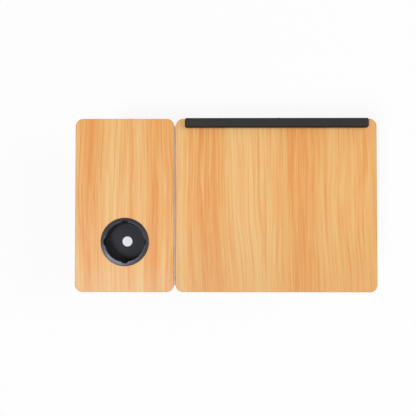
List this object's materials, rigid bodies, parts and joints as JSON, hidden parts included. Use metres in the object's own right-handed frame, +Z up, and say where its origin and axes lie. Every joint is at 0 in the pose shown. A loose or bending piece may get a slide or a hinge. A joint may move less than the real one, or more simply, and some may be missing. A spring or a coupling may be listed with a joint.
{
  "type": "folding laptop table",
  "caption": "Low folding bed table: fixed side board with cup holder, tilting main board with stopper bar, and folding telescopic tube legs.",
  "frame": {"origin": "on the floor, under the middle of the top", "axes": "+Z up, +X along the width from the cup holder's side to the tilting board, +Y towards the user and the stopper bar"},
  "size_m": [0.6, 0.345, 0.2581],
  "materials": {
    "board_laminate": "warm beech-look laminate, satin",
    "stopper_plastic": "fine-textured black",
    "cup_plastic": "satin black",
    "frame_plastic": "fine-textured black",
    "beam_plastic": "matt grey",
    "rail_paint": "black powder coat",
    "leg_aluminium": "satin anodised",
    "zinc_steel": "zinc plated",
    "grey_plastic": "satin grey",
    "foam": "matt foam",
    "foot_rubber": "matt black rubber"
  },
  "bodies": {
    "frame": {"side_board": "board_laminate", "cup_holder": "cup_plastic", "front_rail": "rail_paint", "rear_rail": "rail_paint", "left_end_beam": "frame_plastic", "right_end_beam": "frame_plastic", "centre_beam": "beam_plastic", "notch_rail_left": "zinc_steel", "notch_rail_right": "zinc_steel", "left_front_hinge_pin": "zinc_steel", "left_front_fold_spring": "zinc_steel", "left_rear_hinge_pin": "zinc_steel", "left_rear_fold_spring": "zinc_steel", "right_front_hinge_pin": "zinc_steel", "right_front_fold_spring": "zinc_steel", "right_rear_hinge_pin": "zinc_steel", "right_rear_fold_spring": "zinc_steel"},
    "tray": {"main_board": "board_laminate", "stopper_bar": "stopper_plastic", "stopper_pad": "foam", "tilt_saddle_left": "frame_plastic", "tilt_saddle_right": "frame_plastic", "prop_bracket_left": "zinc_steel", "prop_bracket_right": "zinc_steel", "prop_pin_left": "zinc_steel", "prop_pin_right": "zinc_steel"},
    "prop": {"prop_arm_left": "zinc_steel", "prop_arm_right": "zinc_steel", "prop_foot_rod": "zinc_steel"},
    "left_upper_leg": {"left_leg_brace": "leg_aluminium", "left_front_knuckle": "frame_plastic", "left_front_upper_tube": "leg_aluminium", "left_front_clamp_collar": "frame_plastic", "left_rear_knuckle": "frame_plastic", "left_rear_upper_tube": "leg_aluminium", "left_rear_clamp_collar": "frame_plastic"},
    "left_lower_leg": {"left_foot_frame": "leg_aluminium", "left_front_foot_pad": "foot_rubber", "left_rear_foot_pad": "foot_rubber"},
    "left_front_button": {"left_front_fold_button": "grey_plastic"},
    "left_front_lever": {"left_front_clamp_lever": "grey_plastic"},
    "left_rear_button": {"left_rear_fold_button": "grey_plastic"},
    "left_rear_lever": {"left_rear_clamp_lever": "grey_plastic"},
    "right_upper_leg": {"right_leg_brace": "leg_aluminium", "right_front_knuckle": "frame_plastic", "right_front_upper_tube": "leg_aluminium", "right_front_clamp_collar": "frame_plastic", "right_rear_knuckle": "frame_plastic", "right_rear_upper_tube": "leg_aluminium", "right_rear_clamp_collar": "frame_plastic"},
    "right_lower_leg": {"right_foot_frame": "leg_aluminium", "right_front_foot_pad": "foot_rubber", "right_rear_foot_pad": "foot_rubber"},
    "right_front_button": {"right_front_fold_button": "grey_plastic"},
    "right_front_lever": {"right_front_clamp_lever": "grey_plastic"},
    "right_rear_button": {"right_rear_fold_button": "grey_plastic"},
    "right_rear_lever": {"right_rear_clamp_lever": "grey_plastic"}
  },
  "joints": [
    {"name": "tray_tilt", "type": "hinge", "parent": "frame", "child": "tray", "pos_m": [0.1, 0.15, 0.2205], "axis": [-1, 0, 0], "range_deg": [0, 36]},
    {"name": "prop_swing", "type": "hinge", "parent": "tray", "child": "prop", "pos_m": [0.1, 0.0115, 0.2205], "axis": [1, 0, 0], "range_deg": [0, 72]},
    {"name": "left_leg_fold", "type": "hinge", "parent": "frame", "child": "left_upper_leg", "pos_m": [-0.276, 0, 0.1985], "axis": [0, -1, 0], "range_deg": [0, 90]},
    {"name": "left_leg_extend", "type": "slide", "parent": "left_upper_leg", "child": "left_lower_leg", "axis": [0, 0, -1], "range_m": [0, 0.04]},
    {"name": "left_front_button_press", "type": "slide", "parent": "frame", "child": "left_front_button", "axis": [0, -1, 0], "range_m": [0, 0.003], "stiffness_N_per_m": 900, "springref_m": -0.002, "deforming": ["left_front_fold_spring"]},
    {"name": "left_front_lever_flip", "type": "hinge", "parent": "left_upper_leg", "child": "left_front_lever", "pos_m": [-0.2915, 0.125, 0.0568], "axis": [0, -1, 0], "range_deg": [0, 90]},
    {"name": "left_rear_button_press", "type": "slide", "parent": "frame", "child": "left_rear_button", "axis": [0, 1, 0], "range_m": [0, 0.003], "stiffness_N_per_m": 900, "springref_m": -0.002, "deforming": ["left_rear_fold_spring"]},
    {"name": "left_rear_lever_flip", "type": "hinge", "parent": "left_upper_leg", "child": "left_rear_lever", "pos_m": [-0.2915, -0.125, 0.0568], "axis": [0, -1, 0], "range_deg": [0, 90]},
    {"name": "right_leg_fold", "type": "hinge", "parent": "frame", "child": "right_upper_leg", "pos_m": [0.276, 0, 0.1985], "axis": [0, 1, 0], "range_deg": [0, 90]},
    {"name": "right_leg_extend", "type": "slide", "parent": "right_upper_leg", "child": "right_lower_leg", "axis": [0, 0, -1], "range_m": [0, 0.04]},
    {"name": "right_front_button_press", "type": "slide", "parent": "frame", "child": "right_front_button", "axis": [0, -1, 0], "range_m": [0, 0.003], "stiffness_N_per_m": 900, "springref_m": -0.002, "deforming": ["right_front_fold_spring"]},
    {"name": "right_front_lever_flip", "type": "hinge", "parent": "right_upper_leg", "child": "right_front_lever", "pos_m": [0.2915, 0.125, 0.0568], "axis": [0, 1, 0], "range_deg": [0, 90]},
    {"name": "right_rear_button_press", "type": "slide", "parent": "frame", "child": "right_rear_button", "axis": [0, 1, 0], "range_m": [0, 0.003], "stiffness_N_per_m": 900, "springref_m": -0.002, "deforming": ["right_rear_fold_spring"]},
    {"name": "right_rear_lever_flip", "type": "hinge", "parent": "right_upper_leg", "child": "right_rear_lever", "pos_m": [0.2915, -0.125, 0.0568], "axis": [0, 1, 0], "range_deg": [0, 90]}
  ],
  "couplings": [
    {"joint": "prop_swing", "follows": "tray_tilt", "ratio": 2}
  ]
}
